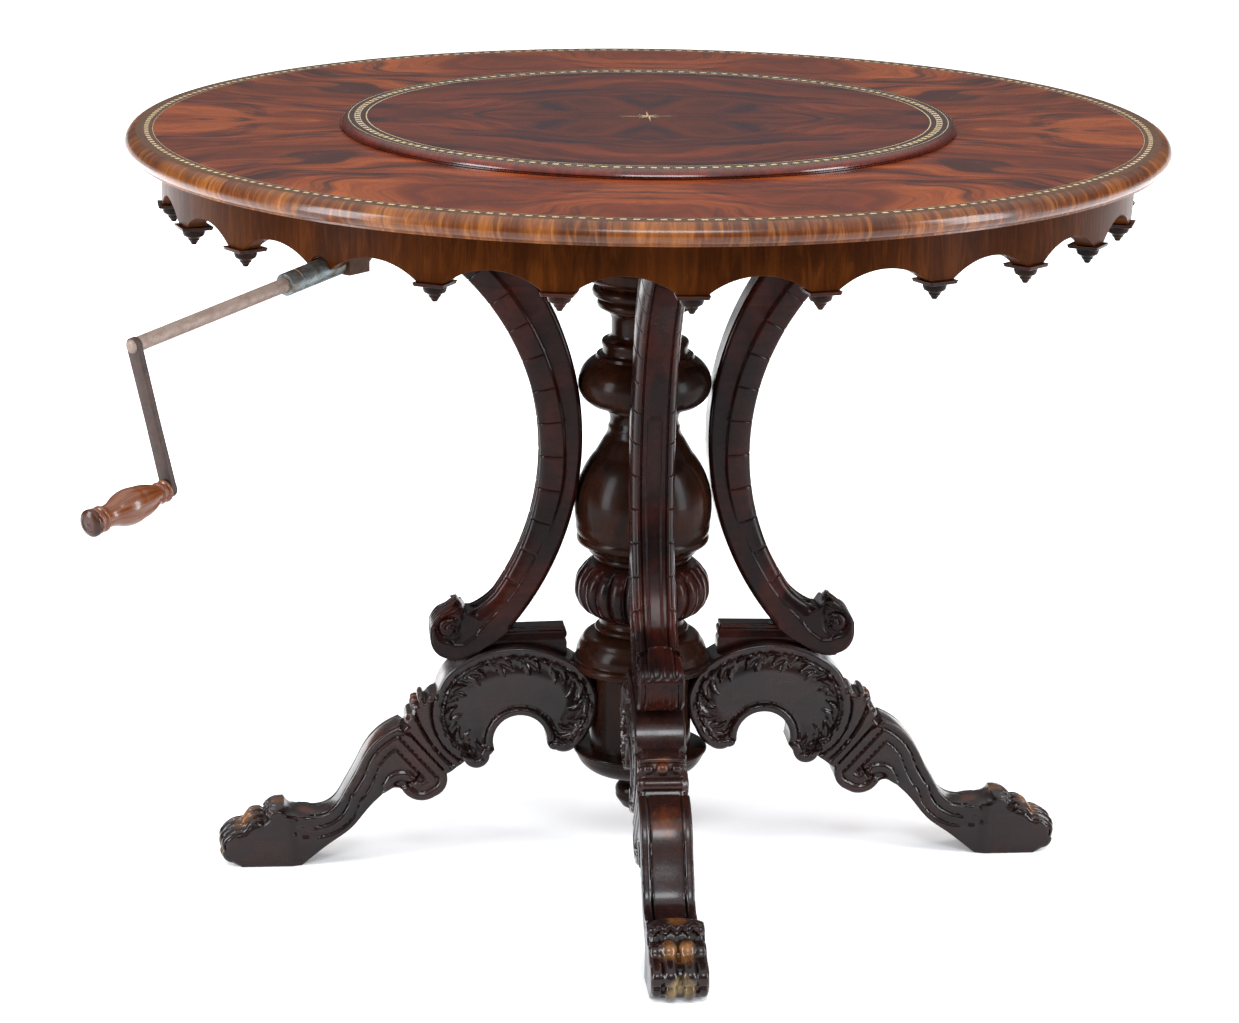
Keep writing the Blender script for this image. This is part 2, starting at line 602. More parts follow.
def apron():
    """A curved board whose lower edge is cut in arches, one to each bay."""
    width = TAU * APRON_RADIUS / BAYS - TIP_WIDTH
    radius = (width ** 2 / 4 + ARCH_HEIGHT ** 2) / (2 * ARCH_HEIGHT)
    crown = TIP_BOTTOM + ARCH_HEIGHT
    tip, corner, tip_steps, arch_steps = TIP_WIDTH / 2, 0.6, 16, 24
    across = [-tip] + list(np.linspace(corner - tip, tip - corner, tip_steps + 1))
    across += [tip + width * (1 - math.cos(math.pi * k / arch_steps)) / 2 for k in range(arch_steps)]
    profile = []
    for offset in across:
        beyond = offset - tip - width / 2
        arch = crown - radius + math.sqrt(max(radius ** 2 - beyond ** 2, 0))
        profile.append((offset, TIP_BOTTOM if offset < tip else max(arch, TIP_BOTTOM)))
    count = len(profile) * BAYS
    inner = APRON_RADIUS - APRON_THICKNESS
    sections = []
    for bay in range(BAYS):
        for offset, low in profile:
            azimuth = math.radians(FIRST_DROP + bay * 360 / BAYS) + offset / APRON_RADIUS
            notch = sleeve_notch(azimuth)
            low = max(low, notch) if notch else low
            rows = [(APRON_RADIUS - 1, low), (APRON_RADIUS, low + 1), (APRON_RADIUS, low + 9),
                    (APRON_RADIUS, TOP_UNDERSIDE - 1), (APRON_RADIUS, TOP_UNDERSIDE),
                    (inner, TOP_UNDERSIDE), (inner, low + 1), (inner + 1, low)]
            sections.append([(r * math.sin(azimuth), -r * math.cos(azimuth), z) for r, z in rows])
    points = np.array(sections).transpose(1, 0, 2).reshape(-1, 3)
    faces = turned_over(grid_faces(8, count, wrap_rows=True, wrap_columns=True))
    piece_of("arcaded_apron", points, faces, "apron_mahogany", stands_for="apron", crease=32)


def sleeve_notch(azimuth):
    """The height of the hole's top where the crank sleeve leaves the apron, or nothing."""
    across = math.remainder(azimuth - math.radians(CRANK_AZIMUTH), TAU) * APRON_RADIUS
    axis = APEX_HEIGHT - (APRON_RADIUS - APRON_THICKNESS / 2) * math.tan(math.radians(SHAFT_TILT))
    opening = SLEEVE_RADIUS + SLEEVE_CLEARANCE
    if abs(across) >= opening:
        return None
    return axis + math.sqrt(opening ** 2 - across ** 2)


def drop_places():
    for bay in range(BAYS):
        if bay != BAYS - MISSING_DROP:
            azimuth = FIRST_DROP + bay * 360 / BAYS
            yield around(azimuth, DROP_CIRCLE, TIP_BOTTOM)


def repeated(points, faces, places):
    """One mesh's points and faces, copied to many places."""
    all_points, all_faces = [], []
    for place in places:
        turn = np.array(place.to_3x3())
        shift = np.array(place.translation) / MM
        offset = sum(len(p) for p in all_points)
        all_points.append(np.asarray(points) @ turn.T + shift)
        all_faces += [tuple(offset + v for v in face) for face in faces]
    return np.vstack(all_points), all_faces


def drops():
    """Square moulded plates, and a pointed, waisted turning under each."""
    half, steps = PLATE_SIDE / 2, 6
    middle, round_corner = half - 2, np.linspace(0, math.pi / 2, steps)
    corner = [(middle + 2 * math.cos(a), middle + 2 * math.sin(a)) for a in round_corner]
    square = [(x * c - y * s, x * s + y * c) for s, c in ((0, 1), (1, 0), (0, -1), (-1, 0))
              for x, y in corner]
    levels = [(0.0, 1.0), (-0.7, 1.0), (-1.3, 0.965), (-2.0, 0.97), (-2.7, 0.955), (-3.2, 0.93),
              (-PLATE_THICKNESS, 0.88)]
    points = [(x * s, y * s, z) for z, s in levels for x, y in square]
    count = len(square)
    faces = grid_faces(len(levels), count, wrap_columns=True) + end_faces(count, len(points))
    faces = turned_over(faces)
    plates = repeated(points, faces, drop_places())
    piece_of("apron_drop_plates", *plates, "carved_mahogany", stands_for="drop_plates", crease=50)
    outline = [(0, -PLATE_THICKNESS), (10.8, -PLATE_THICKNESS, -1), (11.4, -4.6, -9), (9.8, -10.2, 7),
               (5.6, -13.6), (5.6, -14.4), (4.6, -15), (2.3, -18.8), (0, -19)]
    profile = trace(outline, 0.9, closed=False)[0]
    segments, rows = 20, profile[1:-1]
    body = [(r * math.cos(a), r * math.sin(a), z) for r, z in rows for a in angles_round(segments)]
    faces = grid_faces(len(rows), segments, wrap_columns=True) + end_faces(segments, len(body))
    turned = repeated(body, faces, drop_places())
    piece_of("apron_turned_drops", *turned, "turned_mahogany", stands_for="drop_finials", crease=55)


# -------- the column

def bead(share):
    """How far a round bead has fallen from its crown: 0 in its middle and 1 at its edges."""
    return 1 - np.sqrt(np.clip(1 - share ** 2, 0, 1))


def dip(value, middle, reach):
    """How far a round moulding has fallen: 0 on its middle line and 1 beyond its reach."""
    return bead(np.clip((value - middle) / reach, -1, 1))


def raised(value, middle, reach, base, rise):
    """Half a board's thickness across a round moulding that stands on a base."""
    return base + rise * (1 - dip(value, middle, reach))


def lobed(radius, height, angle):
    """The gadroon's convex lobes, deepest at its waist and running out at both ends."""
    depth, low, high = 6.5, 262, 320
    share = 2 * ((angle * LOBES / TAU) % 1) - 1
    fade = np.clip(np.sin(math.pi * np.clip((height - low) / (high - low), 0, 1)), 0, 1) ** 0.45
    swell = np.where(radius > ROD_BORE + 20, fade, 0)
    return radius - depth * bead(share) * swell


def column():
    """The turned pieces threaded on the tie rod, each with the fillets that part its mouldings."""
    bore = ROD_BORE
    lathe("column_turned_cap", [
        (bore, 545), (44, 545, -14), (45, 553, 5), (44, 558), (38.5, 559.5, -8), (35.5, 567),
        (35.5, 579, -12), (44, 590), (44, 592), (48, 592, 5.5), (48, 601), (50, 602), (53.5, 604, 7),
        (53.5, 614), (51, 616), (55, 618, 14), (55, 650), (48, 656), (48, 698), (60, 704),
        (60, BEARER_UNDERSIDE), (bore, BEARER_UNDERSIDE)],
        "turned_mahogany", segments=96, step=2.2, stands_for="column_cap")
    lathe("column_turned_knop", [
        (bore, 484), (40, 484), (40, 490), (57, 491), (59.5, 493, 24), (69, 512, 30), (54.5, 538),
        (51, 540), (50, 543, -9), (44, 545), (bore, 545)],
        "turned_mahogany", segments=112, step=2.2, stands_for="column_knop")
    lathe("column_turned_vase", [
        (bore, 323.5), (48, 323.5, 4.5), (50, 330.5), (53, 331.5), (56, 333, -20), (61, 340),
        (62.5, 341, 7), (68, 352, 22), (70, 364, 90), (59, 427, 90), (51, 438), (41.7, 454, -20),
        (37.5, 467, -14), (40, 484), (bore, 484)],
        "turned_mahogany", segments=112, step=2.4, stands_for="column_vase")
    lathe("column_turned_collar", [
        (bore, 247), (47, 247, 3.2), (47, 253), (44, 254.5, -8), (43, 260.6), (bore, 260.6)],
        "turned_mahogany", segments=96, step=1.2, stands_for="column_collar")
    lathe("column_carved_gadroon", [
        (bore, 260.6), (43, 260.6), (60, 270, 22), (68, 281, 24), (70.6, 297, 24), (64, 313, 20),
        (48, 323.5), (bore, 323.5)],
        "carved_mahogany", segments=LOBES * 14, step=2.2, waves=lobed,
        stands_for="column_gadroon", crease=60)
    lathe("column_turned_barrel", [
        (bore, 83), (17, 83), (17, 86), (53, 96, 30), (67, 112, 12), (69, 116, 2.1), (69, 120),
        (53, 122), (53, 203), (66, 205, 6), (68.6, 219, 26), (62.6, 238, 12), (50, 246), (48, 247),
        (bore, 247)],
        "turned_mahogany", segments=112, step=2.4, stands_for="column_barrel")
    lathe("column_pendant_finial", [
        (bore, 68), (14, 60), (18, 53.5), (24, 62, 8), (25, 68, 9), (17, 80), (17, 83), (bore, 83)],
        "turned_mahogany", segments=64, step=1.5, stands_for="pendant_finial")


# -------- carving

CARVED_CREASE, CHUNK = 44, 2000


def away_from(points, line):
    """Each point's distance to a line of many points."""
    best = np.full(len(points), 1e9)
    starts, ways = line[:-1], line[1:] - line[:-1]
    squares = np.maximum((ways ** 2).sum(1), 1e-12)
    for begin in range(0, len(points), CHUNK):
        part = points[begin:begin + CHUNK, None, :] - starts[None]
        share = np.clip((part * ways).sum(2) / squares, 0, 1)
        gaps = part - share[..., None] * ways
        best[begin:begin + CHUNK] = np.sqrt((gaps ** 2).sum(2).min(1))
    return best


def inside(points, loop):
    """Whether each point lies within a closed line."""
    within = np.zeros(len(points), bool)
    ends = np.roll(loop, -1, axis=0)
    for (x1, z1), (x2, z2) in zip(loop, ends):
        if z1 == z2:
            continue
        crosses = (z1 > points[:, 1]) != (z2 > points[:, 1])
        within ^= crosses & (points[:, 0] < x1 + (points[:, 1] - z1) * (x2 - x1) / (z2 - z1))
    return within


def scatter(loop, spacing, fine_spacing, is_fine, rims):
    """Points inside a loop: rows that follow its edge, then an even field, finer where asked."""
    outward = outward_of(loop)
    closed = np.vstack([loop, loop[:1]])
    found = []
    for rim in rims:
        row = loop - outward * rim
        keep = inside(row, loop) & (away_from(row, closed) > rim - 0.08)
        found.append(row[keep])
    low, high = loop.min(0), loop.max(0)
    for gap, fine in ((spacing, False), (fine_spacing, True)):
        field = []
        for row, z in enumerate(np.arange(low[1], high[1], gap * 0.866)):
            xs = np.arange(low[0] + (row % 2) * gap / 2, high[0], gap)
            field.append(np.stack([xs, np.full(len(xs), z)], 1))
        field = np.vstack(field)
        field = field[is_fine(field) == fine]
        field = field[inside(field, loop)]
        keep = away_from(field, closed) > (rims[-1] if rims else 0) + gap * 0.6
        found.append(field[keep])
    return np.vstack(found)


def face_mesh(loop, points):
    """Triangles over a loop and the points inside it, which come after the loop's own."""
    corners = [Vector(p) for p in np.vstack([loop, points])]
    count = len(loop)
    result = delaunay_2d_cdt(corners, [(i, (i + 1) % count) for i in range(count)],
                             [list(range(count))], 1, 1e-7)
    vertices, faces, origins = result[0], result[2], result[3]
    places = [origin[0] if origin else None for origin in origins]
    extra = []
    for index, place in enumerate(places):
        if place is None:
            places[index] = len(corners) + len(extra)
            extra.append(tuple(vertices[index]))
    faces = [tuple(places[v] for v in face) for face in faces]
    return faces, np.array(extra).reshape(-1, 2)


def carve(name, outline, relief, cut, step, spacing, fine_spacing, is_fine, rims, widths,
          marks=(), blended=(), finish="carved_mahogany"):
    """A mesh of a board sawn to an outline and carved on its edge and both faces.

    relief(points) is half the board's thickness at points of its face.  cut(edge, along, across,
    points) is how far its edge is cut back, given the edge's number, the distance along it and
    the place across the board.  widths runs from -1 to 1 across the edge.  The corners between
    the blended edges are eased.
    """
    line, edges, places = trace(outline, step, marks=marks)
    line = softened(line, edges, blended)
    outward = outward_of(line)
    widths = np.asarray(widths, float)
    half = relief(line)
    across = half[:, None] * widths[None]
    depth = cut(edges[:, None], places[:, None], across, line)
    depth = np.broadcast_to(depth, across.shape)
    rim = line[:, None, :] - outward[:, None, :] * depth[..., None]
    wall = np.stack([rim[..., 0], across, rim[..., 1]], -1)
    rows, columns = across.shape
    faces = grid_faces(rows, columns, wrap_rows=True)
    loop = rim[:, -1]
    field = scatter(loop, spacing, fine_spacing, is_fine, rims)
    flat, extra = face_mesh(loop, field)
    field = np.vstack([field, extra])
    thick = relief(field)
    total = rows * columns
    front = np.stack([field[:, 0], thick, field[:, 1]], -1)
    back = front * (1, -1, 1)
    for side, offset, column in ((0, total, columns - 1), (1, total + len(field), 0)):
        def corner(v):
            return v * columns + column if v < rows else offset + v - rows
        for face in flat:
            turned = tuple(corner(v) for v in face)
            faces.append(turned[::-1] if side == 0 else turned)
    points = np.vstack([wall.reshape(-1, 3), front, back])
    return mesh_of(name, points, faces, [finish], CARVED_CREASE)


def groove(distance, depth, width):
    """A rounded cut along a line, from each point's distance to that line."""
    return depth * np.exp(-(distance / width) ** 2)


def ease(value, low, high):
    """0 below low, 1 above high and a smooth rise between them."""
    share = np.clip((value - low) / (high - low), 0, 1)
    return share * share * (3 - 2 * share)


def stroke(points, start, end, bulge, width, height, tail=0.35):
    """One carved leaf blade: a ridge along an arc from start to end, full in its middle."""
    start, end = np.array(start, float), np.array(end, float)
    chord = end - start
    side = np.array([chord[1], -chord[0]])
    shares = np.linspace(0, 1, 9)
    spine = start + chord * shares[:, None] + side * (bulge * 4 * shares * (1 - shares))[:, None]
    best = np.zeros(len(points))
    for index in range(8):
        way = spine[index + 1] - spine[index]
        part = points - spine[index]
        share = np.clip((part @ way) / (way @ way), 0, 1)
        gap = np.hypot(*(part - share[:, None] * way).T)
        run = shares[index] + share / 8
        swell = np.sin(math.pi * np.clip(run, 0.02, 0.98) ** 0.75) ** 0.6 * (1 - tail) + tail * (1 - run)
        blade = np.clip(1 - (gap / (width * np.maximum(swell, 0.12))) ** 1.6, 0, 1)
        best = np.maximum(best, height * blade * (0.55 + 0.45 * run))
    return best


# -------- supports

SUPPORT_HALF, SOFT_CORNER = 23.5, 1.6
VOLUTE_EYE, LEAF_CREST = np.array((203, 255.5)), 258
# the hollow outer face is an arc about this centre, and a roll turns from it on to each side
FACE_FOOT, FACE_CENTRE, FACE_RADIUS = (155.5, 291), np.array((370.88, 440.17)), 262
FACE_START = math.atan2(FACE_FOOT[1] - FACE_CENTRE[1], FACE_FOOT[0] - FACE_CENTRE[0]) % TAU
ROLL_CREST, ROLL_TURN = 14.6, 0.985
# across the face from its middle: where the flute, its fillet and the channel by the roll end
FLUTE_EDGE, FILLET_EDGE, ROLL_EDGE = (6.8, 8.0), (11.8, 12.6), (13.4, 14.4)
# the flute is deep up to this height, which lies this far along the face
FLUTE_STOP, STOP_ALONG = 503, 229.8
SUPPORT = [(141, 252), (156, 240, -40), (175, 227, 40), (206, 221, 24), (224, 247, 27),
           (207, 275, 20), (194, 286), (189, 279), (184, 271.5, -70), (*FACE_FOOT, -FACE_RADIUS),
           (335, 699.7), (335, BEARER_UNDERSIDE), (216, BEARER_UNDERSIDE, 314)]
TAIL, TAIL_SWEEP, VOLUTE_UNDER, VOLUTE_FRONT, VOLUTE_TOP, LEAF_TIP, TIP_END, TIP_BACK = range(8)
SUPPORT_SPUR, SUPPORT_FACE, SUPPORT_BACK = 8, 9, 12

# the flat of the support's side, below which a roll runs round under the volute
SUNK_FACE = np.array([(206, 244.5), (198, 238), (187, 238), (175, 247), (165, 260), (153, 272),
                      (142, 289), (138, 306), (156, 306), (157, 296), (184, 273.5),
                      (189.5, 280), (190, 272), (191.5, 263), (192.5, 256), (196, 250),
                      (200, 246.5)], float)


def rounded(across, half, radius):
    """The edge's cut at a rounded corner of the board."""
    over = np.clip(np.abs(across) - (half - radius), 0, radius)
    return radius - np.sqrt(np.maximum(radius ** 2 - over ** 2, 0))


def upper_part(height):
    """0 in the support's lower part, where the mouldings are narrower, and 1 in its upper part."""
    return ease(height, 300, 420)


def roll_reach(height):
    """How far the roll at each edge of the outer face reaches round on to the support's side."""
    return 14 + 9 * upper_part(height)


def reeds(across, pitch, depth):
    share = 2 * ((across / pitch + 0.5) % 1) - 1
    return depth * bead(share)


def support_cut(edge, along, across, points):
    """The mouldings of the hollow outer face, the leaf on the volute, and soft corners."""
    height = points[:, 1][:, None]
    width = np.abs(across) * (SUPPORT_HALF / np.abs(across).max(axis=1, keepdims=True))
    plain = rounded(width, SUPPORT_HALF, SOFT_CORNER)
    past_flute, past_fillet = ease(width, *FLUTE_EDGE), ease(width, *FILLET_EDGE)
    past_channel = ease(width, *ROLL_EDGE)
    deep = 1 - ease(height, FLUTE_STOP - 1.2, FLUTE_STOP + 1.2)
    flute = (1 - past_flute) * (0.9 + 2.4 * deep)
    fillet = past_flute * (1 - past_fillet) * 0.9
    channel = past_fillet * (1 - past_channel) * 2.6
    share = np.clip((width - ROLL_CREST) / (SUPPORT_HALF - ROLL_CREST), 0, 1)
    roll = past_channel * bead(ROLL_TURN * share) / bead(ROLL_TURN) * roll_reach(height)
    ticks = sum(groove(along - mark, 0.8, 0.6) for _, mark in SUPPORT_TICKS)
    ticks = ticks * ease(width, 13.8, 15) * (edge == SUPPORT_FACE)
    face = flute + fillet + channel + roll + ticks
    ends = np.where(edge == SUPPORT_SPUR, ease(along, 1, 10), 1 - ease(along, 500, 528))
    face = face * ends + plain * (1 - ends)
    crest = np.exp(-((height - LEAF_CREST) / 3.2) ** 2)
    leaf = reeds(across, 6.7, 2.2) * (1 - 0.75 * crest) + 1.3 * (1 - crest) + plain
    tip = reeds(across, 9.4, 3.0) * (1 - crest) + plain + 0.6
    cut = np.where((edge == SUPPORT_SPUR) | (edge == SUPPORT_FACE), face, plain)
    volute = np.isin(edge, (VOLUTE_FRONT, VOLUTE_TOP))
    cut = np.where(volute, np.where(height > LEAF_CREST, tip, leaf), cut)
    cut = np.where(edge == SUPPORT_BACK, rounded(width, SUPPORT_HALF, 6), cut)
    cut = np.where(edge == LEAF_TIP, tip, cut)
    cut = np.where(np.isin(edge, (TIP_END, TIP_BACK)), plain * 0.5, cut)
    ends_in_point = np.isin(edge, (VOLUTE_TOP, LEAF_TIP, TIP_END)) * ease(height, 268, 285)
    return cut + 8 * (width / SUPPORT_HALF) ** 3 * ends_in_point


def support_relief(points):
    """The flat side, the roll that sweeps under it, and the volute's spiral and raised eye."""
    gap = points - VOLUTE_EYE
    reach = np.hypot(*gap.T)
    turn = np.arctan2(gap[:, 1], gap[:, 0]) % TAU
    half = np.full(len(points), float(SUPPORT_HALF))
    way = points - FACE_CENTRE
    deep = np.hypot(*way.T) - FACE_RADIUS
    height = points[:, 1]
    past_roll, upper = deep - roll_reach(height), upper_part(height)
    half -= 2.4 * ease(past_roll, 0, 4.4) * upper
    half -= 1.8 * (1 - ease(past_roll, 0.4, 2.4)) * (1 - upper) * ease(height, 288, 296)
    along = FACE_RADIUS * ((FACE_START - np.arctan2(way[:, 1], way[:, 0])) % TAU)
    ticks = sum(groove(along - mark, 0.55, 0.6) for _, mark in SUPPORT_TICKS)
    half -= ticks * (deep < 3)
    edge_line = away_from(points, np.vstack([SUNK_FACE, SUNK_FACE[:1]]))
    fade = 1 - ease(height, 286, 300)
    sunk = inside(points, SUNK_FACE) * ease(edge_line, 0.2, 2.6)
    half -= 2.0 * sunk * fade
    half -= groove(edge_line - 1.2, 0.9, 1.0) * inside(points, SUNK_FACE) * fade
    eye = 1 - dip(reach, 0, 9.5)
    half -= 1.8 * (1 - ease(reach, 12.5, 16)) * (1 - eye)
    for lap in range(2):
        spiral = 3.0 + 7.4 * (turn + TAU * lap) / TAU
        half -= groove(reach - spiral, 2.2, 1.1) * (spiral < 13.2)
    outer = away_from(points, VOLUTE_RIM)
    tip = ease(points[:, 1], 270, 286) * ease(points[:, 0], 186, 189) * (points[:, 1] < 290)
    return half - 2.6 * bead(1 - np.clip(outer / 7.0, 0, 1)) - 4 * tip


FIRST_TICK, TICK_PITCH, TICK_COUNT = 22, 34, 14
SUPPORT_TICKS = [(SUPPORT_FACE, FIRST_TICK + TICK_PITCH * k) for k in range(TICK_COUNT)]
VOLUTE_RIM = trace(SUPPORT[VOLUTE_UNDER:TIP_END], 2.5, closed=False)[0]


def spread(*parts, last=()):
    """Places from -1 to 1 across an edge, mirrored; each part is (from, to, count) of the half."""
    half = [v for low, high, count in parts for v in np.linspace(low, high, count, endpoint=False)]
    half += last
    return [-1] + [-v for v in reversed(half[1:])] + half + [1]


def supports():
    roll = [0.62 + 0.38 * math.sin(math.pi / 2 * k / 13) for k in range(13)]
    widths = spread((0, 0.28, 3), (0.28, 0.35, 3), (0.35, 0.5, 2), (0.5, 0.62, 6), last=roll)
    steps = {None: 5.5, TAIL: 3, TAIL_SWEEP: 3, VOLUTE_UNDER: 2.4, VOLUTE_FRONT: 2, VOLUTE_TOP: 2,
             LEAF_TIP: 2, TIP_END: 1.5, TIP_BACK: 1.5, SUPPORT_SPUR: 2.5}
    mesh = carve("c_support", SUPPORT, support_relief, support_cut,
                 steps, 14, 1.7, lambda p: p[:, 1] < 425, (1.0, 2.2, 3.4, 4.8), widths,
                 marks=SUPPORT_TICKS + [(SUPPORT_FACE, STOP_ALONG + d) for d in (-1, 0, 1)],
                 blended=(TAIL_SWEEP, VOLUTE_UNDER, VOLUTE_FRONT, VOLUTE_TOP, LEAF_TIP))
    put_four("c_support", mesh, "support")


# -------- brackets

BRACKET_HALF, BRACKET_TOP = 11, 254.4
BRACKET = [(79, 222.1, -113), (131, 236, -113), (175, 226.8), (156, 240, 40), (141, 252),
           (139.7, 253.2), (82, BRACKET_TOP, 4), (81.6, 250), (80, 249, 6), (81, 241), (79, 237)]


def bracket_cut(edge, along, across, points):
    return rounded(across, BRACKET_HALF, 1.4)


def bracket_relief(points):
    """The face falls in a cove below its top fillet."""
    below = BRACKET_TOP - points[:, 1] - (points[:, 0] - 82) * 0.02
    return BRACKET_HALF - 2.4 * ease(below, 4.4, 5.8) + 2.0 * ease(below, 6.5, 16)


def brackets():
    mesh = carve("shelf_bracket", BRACKET, bracket_relief, bracket_cut, 2.5, 5, 1.4,
                 lambda p: p[:, 1] > 236, (0.7,), spread((0, 0.8, 4), (0.8, 1, 5)))
    put_four("shelf_bracket", mesh, "bracket")


# -------- legs

LEG_HALF, PAW_HALF, PAW_START = 24.2, 28.3, (359, 365)
TOE_VALLEY, CUFF_PITCH, PEARL_BED, NECK_LENGTH = 7.0, 11.3, 5.0, 27.3
RING_CENTRE, RING_RADIUS = np.array((160.3, 165.4)), 59.5
LEG = [(357, 0), (430, 0, 18), (444, 20, 22), (420, 44, 22), (399, 55, 22), (375, 65, -22),
       (353, 54, -28), (315, 79, -90), (295, 116, 70), (271, 143, 34), (252, 151),
       (241, 176, 12), (224, 182), (216, 186, 50), (190, 219, 113), (131, 236, 113),
       (72, 218, 60), (47, 180, 60), (56, 144, 40), (74, 123, 16), (91, 123, 9),
       (100, 131, -28), (127, 161, -28), (155, 124), (160, 118, 14), (186, 111),
       (205, 98, 20), (217, 74, 24), (252, 82, 16), (255, 89, -110), (303, 38, -120),
       (342, 12)]
SOLE, TOE_TIP, TOE_MIDDLE, TOE_BACK, CUFF, CUFF_BACK = range(6)
SHIN_TOP, NECK, BEADS, CUSHION, RING_TOP, SHIN_UNDER = (6, 7, 8, 9), 10, 11, 12, 13, (28, 29, 30, 31)

# lines that the carving follows: the ring's rim, its opening, the neck's ends, the shin's scroll
NECK_CURVE = (186, 111, 60)
RIM_LINE = trace([LEG[24], NECK_CURVE] + LEG[13:21], 3, closed=False)[0]
OPENING_LINE = trace(LEG[20:25], 3, closed=False)[0]
NECK_TOP_LINE = trace([NECK_CURVE, LEG[13]], 3, closed=False)[0]
NECK_FOOT_LINE = np.array([LEG[26][:2], LEG[10]], float)
SCROLL_LINE = trace(LEG[6:11] + LEG[26:29], 3, closed=False)[0]
TOE_LINE = trace(LEG[1:5], 3, closed=False)[0]

# leaves stand this far in from the rim, the first and last this far from the rim line's ends;
# a blade is (start, end, bulge, width, rise), its places along the rim and in from the base
LEAF_COUNT, LEAF_START, FIRST_LEAF, LAST_LEAF, LEAF_SPAN = 11, 13, 22, 26, 34
LEAF_BLADES = [((-15, -1), (9, 13), 0.2, 6.2, 4.6), ((-11, 5), (-1, 18), 0.16, 4.0, 3.4),
               ((-3, -1), (17, 4), 0.16, 4.2, 3.6), ((-17, 1), (-9, 12), 0.12, 3.2, 2.6)]


def leaves(points):
    """Acanthus leaves that curl off the ring's rim, one after another around it."""
    gaps = np.hypot(*np.diff(RIM_LINE, axis=0).T)
    run = np.concatenate([[0], np.cumsum(gaps)])
    height = np.zeros(len(points))
    for place in np.linspace(FIRST_LEAF, run[-1] - LAST_LEAF, LEAF_COUNT):
        index = np.searchsorted(run, place)
        way = RIM_LINE[index] - RIM_LINE[index - 1]
        way = way / np.hypot(*way)
        inward = np.array([-way[1], way[0]])
        base = RIM_LINE[index] + inward * LEAF_START
        near = np.hypot(*(points - base).T) < LEAF_SPAN
        if not near.any():
            continue
        for start, end, bulge, width, rise in LEAF_BLADES:
            first = base + way * start[0] + inward * start[1]
            last = base + way * end[0] + inward * end[1]
            height[near] = np.maximum(height[near],
                                      stroke(points[near], first, last, bulge, width, rise))
    return height


def ring_relief(points):
    """The rim's round moulding, its fillet, leaves on a sunk ground and the opening's border."""
    rim, opening = away_from(points, RIM_LINE), away_from(points, OPENING_LINE)
    fillet, leaf_ground = 9.2, 11.4
    half = raised(rim, 4.2, 5.2, 23.6, 2.3)
    half = np.where(rim > fillet, LEG_HALF, half) - groove(rim - fillet, 1.8, 0.9)
    sunk = ease(rim, leaf_ground, leaf_ground + 1.6) * (20.4 + 2.2 * ease(rim, 16, 34) - LEG_HALF)
    half = np.where(rim > leaf_ground, LEG_HALF + sunk, half)
    half = half + leaves(points) * (1 - ease(rim, 30, 35)) * ease(opening, 7, 11)
    border = raised(opening, 3.6, 4.4, 23.8, 1.0)
    border = np.where(opening > 7.8, 23.3, border) - groove(opening - 8.4, 1.8, 1.0)
    share = (1 - ease(opening, 10.0, 12.0)) * ease(rim, 9, 12)
    return half * (1 - share) + border * share


def neck_relief(points):
    """Mouldings that fan across the neck, from the beads down to the under side."""
    top, foot = away_from(points, NECK_TOP_LINE), away_from(points, NECK_FOOT_LINE)
    share = top / np.maximum(top + foot, 1e-6)
    torus_start, cut_width = 0.48, 0.03
    half = 23.4 + 0.8 * np.sin(math.pi * np.clip(share / 0.45, 0, 1))
    half = np.where(share > torus_start, raised(share, 0.72, 0.22, LEG_HALF, 1.8), half)
    for place, depth in ((0.03, 2.6), (torus_start, 2.2), (0.97, 2.4)):
        half = half - groove(share - place, depth, cut_width)
    return half


def shin_relief(points):
    """The bands that run down the shin and wind round the volute under its top."""
    scroll = away_from(points, SCROLL_LINE)
    band_start, band_end = 9.2, 20.4
    half = raised(scroll, 4.4, 5, 24.7, 1.3)
    half = np.where(scroll > band_start, raised(scroll, 14.4, 6, 24.3, 1.2), half)
    half = np.where(scroll > band_end, 24.6, half)
    half = half - groove(scroll - band_start, 1.6, 1.3) - groove(scroll - band_end, 1.7, 1.4)
    notch = stroke(points, (257, 88), (234, 99), -0.22, 5.0, 5.5, 0.6)
    eye = np.hypot(*(points - (238, 91)).T)
    return raised(eye, 0, 7, half - notch, 2.2)


def leg_relief(points):
    """Half the leg's thickness: ring, neck, shin and the wider paw, each in its own zone."""
    foot, foot_way = NECK_FOOT_LINE[0], NECK_FOOT_LINE[1] - NECK_FOOT_LINE[0]
    beyond_foot = (points[:, 0] - foot[0]) * foot_way[1] - (points[:, 1] - foot[1]) * foot_way[0]
    ring_side = np.hypot(*(points - RING_CENTRE).T) < RING_RADIUS
    ring_side |= (points[:, 0] < NECK_CURVE[0]) | (points[:, 1] > 187)
    paw = ease(points[:, 0] - 0.12 * points[:, 1], *PAW_START)
    half = np.where(beyond_foot > 0, shin_relief(points), neck_relief(points))
    half = np.where(ring_side, ring_relief(points), half)
    toes, toe_depth = away_from(points, TOE_LINE), 7.5
    paw_half = PAW_HALF - groove(toes - toe_depth, 1.6, 1.2) - 0.8 * (toes < toe_depth)
    return half * (1 - paw) + paw_half * paw


def zigzag(across, pitch):
    """0 at the points of a zigzag that aim towards the toes and 1 at those that aim away."""
    return np.abs(2 * ((across / pitch) % 1) - 1)


